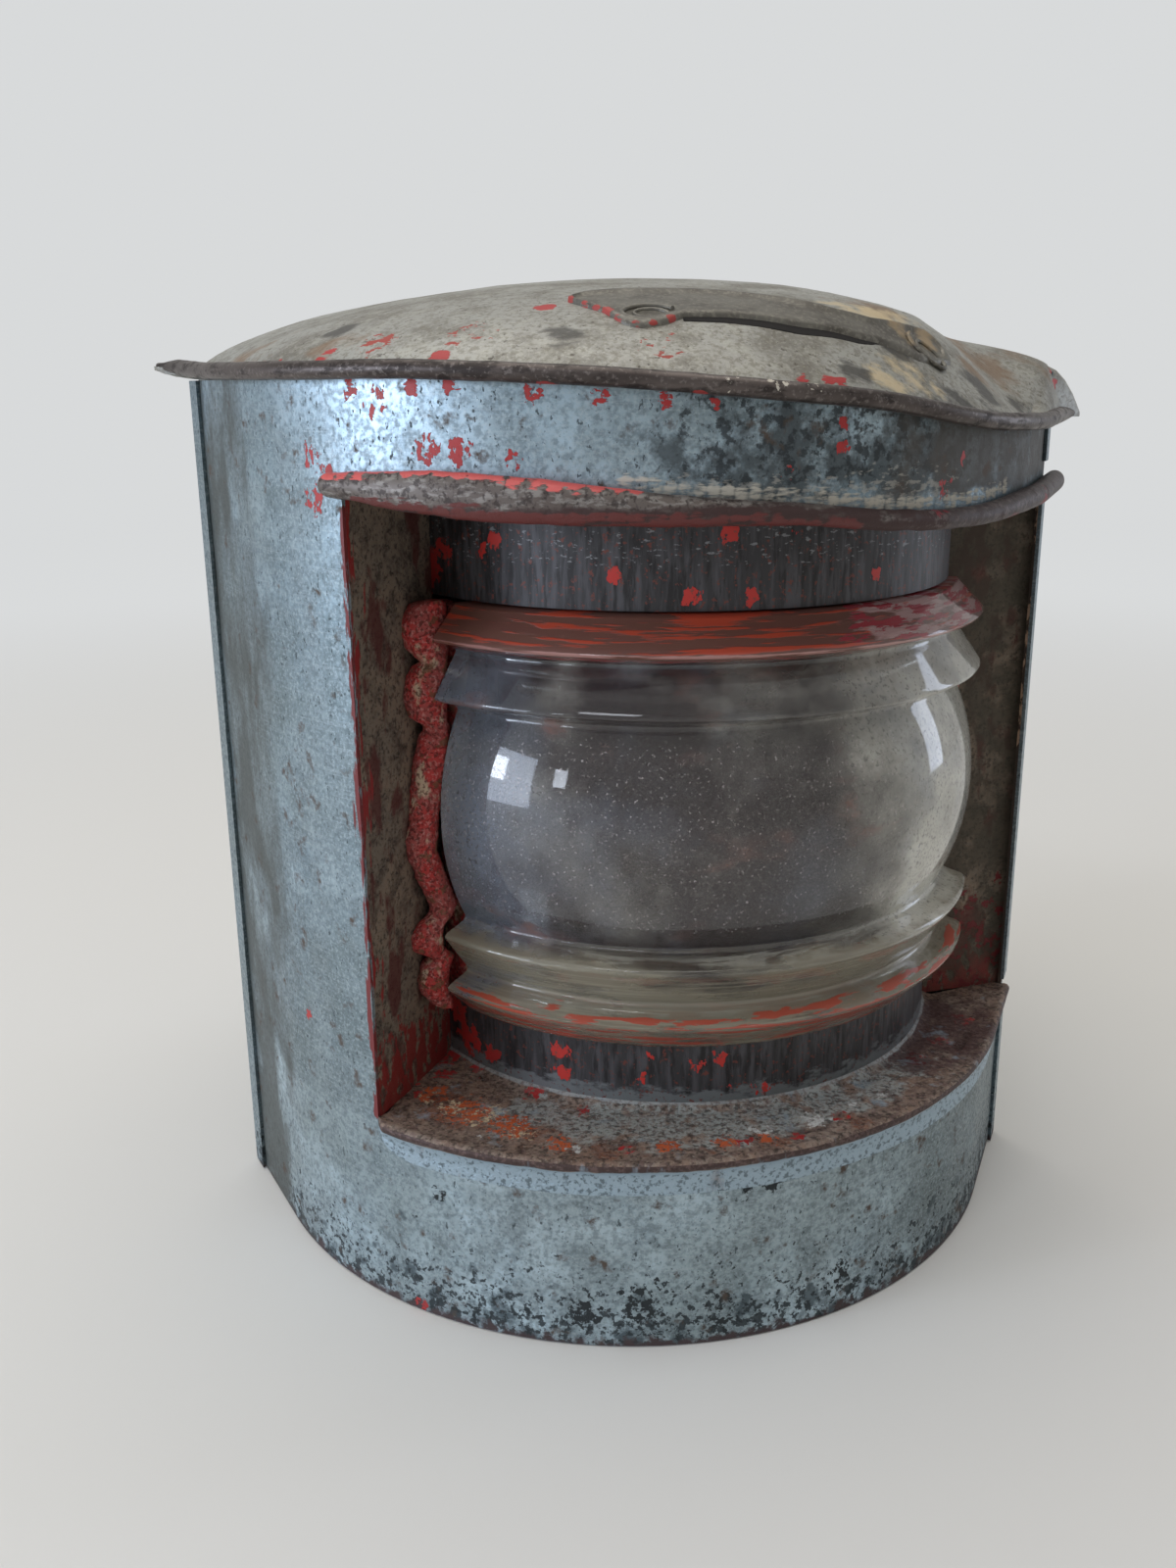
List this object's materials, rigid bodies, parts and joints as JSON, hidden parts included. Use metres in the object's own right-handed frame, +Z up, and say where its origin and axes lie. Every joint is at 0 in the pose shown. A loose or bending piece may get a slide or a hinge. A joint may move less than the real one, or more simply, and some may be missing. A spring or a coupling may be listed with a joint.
{
  "type": "ship navigation lamp",
  "caption": "Oil-burning port side lamp: round-fronted sheet case with flat backs, recessed ring lens between screens, red filter, reflector, burner and a hinged domed lid.",
  "frame": {"origin": "on the bottom of the base, under the axis of the round front", "axes": "+Z up, -Y is the front of the lamp, +X is to the right of someone who faces it"},
  "size_m": [0.2528, 0.2334, 0.2558],
  "materials": {
    "galvanised_sheet": "weathered galvanised steel, pitted",
    "painted_rusty_sheet": "rusty sheet with remains of red paint",
    "dark_collar_sheet": "dark painted steel, flaked",
    "clear_glass": "pressed clear glass, dusty",
    "ruby_glass": "ruby glass",
    "putty": "dry lumpy putty with red paint",
    "lid_sheet": "dull weathered sheet with flecks of paint",
    "iron_wire": "drawn iron wire",
    "tinplate": "tarnished tinplate",
    "polished_tin": "polished tin, slightly dull",
    "brass": "tarnished brass",
    "cork": "pressed cork",
    "cotton_wick": "woven cotton",
    "iron_fittings": "dark painted iron",
    "zinc_rivets": "dull zinc-coated rivets"
  },
  "bodies": {
    "case": {"front_sheet": "galvanised_sheet", "back_sheet": "galvanised_sheet", "base_floor": "galvanised_sheet", "shelf_plate": "painted_rusty_sheet", "recess_hood": "painted_rusty_sheet", "hood_edge_wire": "iron_wire", "left_screen": "painted_rusty_sheet", "right_screen": "painted_rusty_sheet", "lower_lens_collar": "dark_collar_sheet", "upper_lens_collar": "dark_collar_sheet", "fresnel_lens": "clear_glass", "left_lens_seal": "putty", "right_lens_seal": "putty", "filter_frame": "tinplate", "red_filter_glass": "ruby_glass", "reflector": "polished_tin", "reflector_bracket": "tinplate", "reflector_rivet": "brass", "font_locating_ring": "tinplate", "oil_font": "tinplate", "burner_neck": "brass", "filler_neck": "brass", "burner_collar": "brass", "burner_basket": "brass", "wick_tube": "brass", "dome_hinge_pin": "brass", "mounting_socket": "iron_fittings", "socket_rivets": "zinc_rivets", "case_hinge_leaf": "iron_fittings", "case_hinge_rivets": "zinc_rivets", "lid_hinge_pin": "iron_wire"},
    "lid": {"lid_pillow": "lid_sheet", "lid_flange": "lid_sheet", "lid_edge_wire": "iron_wire", "lid_skirt": "lid_sheet", "banner_plate": "lid_sheet", "heat_baffle": "tinplate", "baffle_posts": "tinplate", "lid_hinge_leaf": "iron_fittings", "lid_hinge_rivets": "zinc_rivets"},
    "filler_seal": {"filler_gasket": "cork"},
    "filler_cap": {"filler_cap": "brass"},
    "wick_spindle": {"wick_spindle": "brass", "wick_knob": "brass"},
    "wick": {"wick": "cotton_wick"},
    "burner_dome": {"burner_dome": "brass"}
  },
  "joints": [
    {"name": "lid_hinge", "type": "hinge", "parent": "case", "child": "lid", "pos_m": [0.05374, 0.05374, 0.2265], "axis": [-0.7071, 0.7071, 0], "range_deg": [0, 100]},
    {"name": "filler_lift", "type": "slide", "parent": "case", "child": "filler_seal", "axis": [0, 0, 1], "range_m": [0, 0.00375]},
    {"name": "filler_turn", "type": "hinge", "parent": "filler_seal", "child": "filler_cap", "pos_m": [-0.00709, 0.00909, 0.0653], "axis": [0, 0, 1], "range_deg": [0, 1080]},
    {"name": "wick_turn", "type": "hinge", "parent": "case", "child": "wick_spindle", "pos_m": [0.012, -0.01555, 0.0783], "axis": [1, 0, 0], "range_deg": [-50, 50]},
    {"name": "wick_raise", "type": "slide", "parent": "case", "child": "wick", "axis": [0, 0, 1], "range_m": [-0.0038, 0.0038]},
    {"name": "dome_tilt", "type": "hinge", "parent": "case", "child": "burner_dome", "pos_m": [-0.008, -0.01, 0.0953], "axis": [0, -1, 0], "range_deg": [0, 80]}
  ],
  "couplings": [
    {"joint": "filler_turn", "follows": "filler_lift", "rad_per_m": 5026.5},
    {"joint": "wick_raise", "follows": "wick_turn", "m_per_rad": 0.0042}
  ]
}
